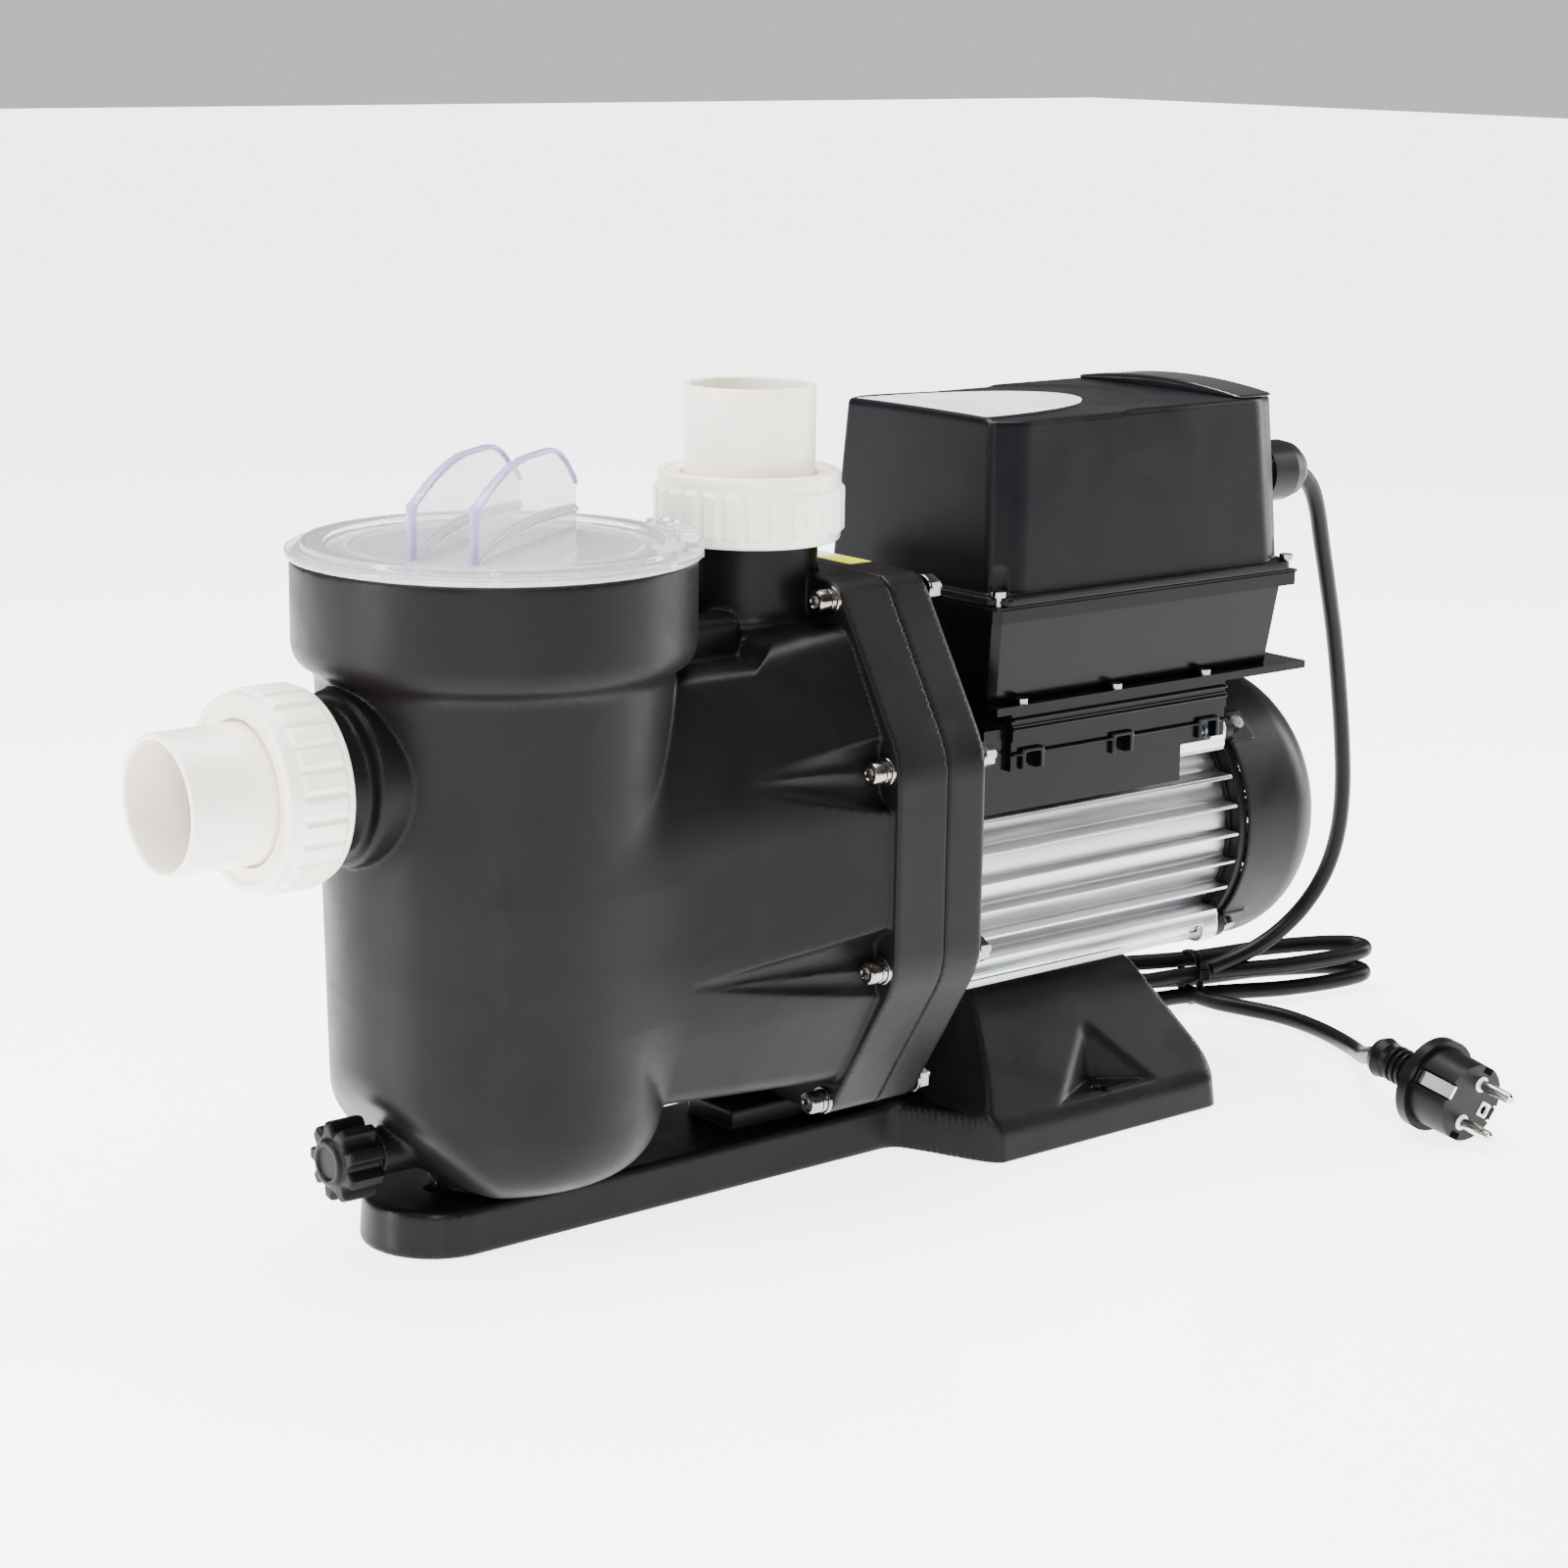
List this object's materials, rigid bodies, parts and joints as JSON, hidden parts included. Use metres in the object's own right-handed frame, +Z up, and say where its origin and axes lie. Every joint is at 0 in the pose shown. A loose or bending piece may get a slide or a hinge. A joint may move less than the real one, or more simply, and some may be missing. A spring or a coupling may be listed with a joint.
{
  "type": "pool pump",
  "caption": "Self-priming pool circulation pump with a clear-lid strainer pot, two union pipe tails, a finned motor under a control box, and a mains lead with plug.",
  "frame": {"origin": "on the standing surface, under the vertical axis of the strainer pot", "axes": "+X along the motor shaft from the pot to the fan cover, +Z up, +Y completes the right-handed frame"},
  "size_m": [0.7112, 0.2899, 0.337],
  "materials": {
    "pump_black": "satin moulded, glass-filled polypropylene",
    "box_black": "fine-grained satin black ABS",
    "pvc_cream": "smooth cream-white PVC",
    "lid_clear": "clear polycarbonate with a violet edge tint",
    "basket_white": "pale translucent moulded plastic",
    "stainless": "bright stainless",
    "zinc": "zinc-plated steel",
    "raw_aluminium": "bare extruded aluminium",
    "cord_rubber": "matte black cord sheath",
    "seal_rubber": "moulded nitrile rubber",
    "label_white": "blank printed film",
    "label_yellow": "blank warning-coloured film",
    "copper": "varnished copper windings",
    "laminations": "stacked electrical steel",
    "ceramic": "ceramic seal face",
    "board_green": "circuit board",
    "rotor_plastic": "moulded black plastic",
    "nickel": "nickel-plated brass",
    "collar_white": "white insulating plastic"
  },
  "bodies": {
    "root": {"pump_housing": "pump_black", "seal_plate": "pump_black", "casing_o_ring": "seal_rubber", "casing_bolts": "stainless", "casing_washers": "stainless", "casing_nuts": "stainless", "diffuser": "rotor_plastic", "casing_label": "label_yellow", "base": "pump_black", "base_screws": "stainless", "motor_housing": "raw_aluminium", "tie_rods": "zinc", "motor_front_shield": "raw_aluminium", "motor_rear_shield": "pump_black", "fan_cover": "pump_black", "fan_cover_screws": "stainless", "stator": "laminations", "windings": "copper", "bearing_front": "stainless", "bearing_rear": "stainless", "seal_seat": "ceramic", "terminal_bracket": "box_black", "skirt_plate": "box_black", "lower_box": "box_black", "box_gasket": "seal_rubber", "box_cover": "box_black", "control_label": "label_white", "rear_cap": "box_black", "box_cover_screws": "stainless", "box_flange_screws": "stainless", "capacitor": "rotor_plastic", "circuit_board": "board_green", "cable_gland": "box_black", "gland_nut": "box_black", "cord_drop": "cord_rubber", "cord_lead": "cord_rubber", "cord_hank": "cord_rubber", "cable_tie": "rotor_plastic", "plug_body": "cord_rubber", "plug_pins": "nickel", "plug_collars": "collar_white", "plug_earth_clips": "nickel"},
    "rotor": {"shaft": "stainless", "rotor_core": "laminations", "impeller": "rotor_plastic", "seal_head": "seal_rubber", "fan": "rotor_plastic"},
    "lid_ring": {"lid_o_ring": "seal_rubber"},
    "lid": {"lid": "lid_clear"},
    "basket": {"strainer_basket": "basket_white"},
    "inlet_pipe": {"inlet_tail": "pvc_cream", "inlet_o_ring": "seal_rubber"},
    "inlet_nut": {"inlet_nut": "pvc_cream"},
    "outlet_pipe": {"outlet_tail": "pvc_cream", "outlet_o_ring": "seal_rubber"},
    "outlet_nut": {"outlet_nut": "pvc_cream"},
    "drain_ring": {"drain_gasket": "seal_rubber"},
    "drain_plug": {"drain_plug": "pump_black"}
  },
  "joints": [
    {"name": "rotor_spin", "type": "hinge", "parent": "root", "child": "rotor", "pos_m": [0.28, 0, 0.123], "axis": [1, 0, 0], "continuous": true},
    {"name": "lid_lift", "type": "slide", "parent": "root", "child": "lid_ring", "axis": [0, 0, 1], "range_m": [0, 0.3]},
    {"name": "lid_turn", "type": "hinge", "parent": "lid_ring", "child": "lid", "pos_m": [0, 0, 0.277], "axis": [0, 0, 1], "range_deg": [0, 90]},
    {"name": "basket_lift", "type": "slide", "parent": "root", "child": "basket", "axis": [0, 0, 1], "range_m": [0, 0.195]},
    {"name": "inlet_pull", "type": "slide", "parent": "root", "child": "inlet_pipe", "axis": [-1, 0, 0], "range_m": [0, 0.06]},
    {"name": "inlet_nut_turn", "type": "hinge", "parent": "inlet_pipe", "child": "inlet_nut", "pos_m": [-0.1, 0, 0.196], "axis": [-1, 0, 0], "continuous": true},
    {"name": "outlet_pull", "type": "slide", "parent": "root", "child": "outlet_pipe", "axis": [0, 0, 1], "range_m": [0, 0.06]},
    {"name": "outlet_nut_turn", "type": "hinge", "parent": "outlet_pipe", "child": "outlet_nut", "pos_m": [0.128, 0, 0.29], "axis": [0, 0, 1], "continuous": true},
    {"name": "drain_pull", "type": "slide", "parent": "root", "child": "drain_ring", "axis": [-1, 0, 0], "range_m": [0, 0.05]},
    {"name": "drain_turn", "type": "hinge", "parent": "drain_ring", "child": "drain_plug", "pos_m": [-0.07, 0, 0.041], "axis": [-1, 0, 0], "continuous": true}
  ],
  "couplings": [
    {"joint": "basket_lift", "follows": "lid_lift", "ratio": 0.65}
  ]
}
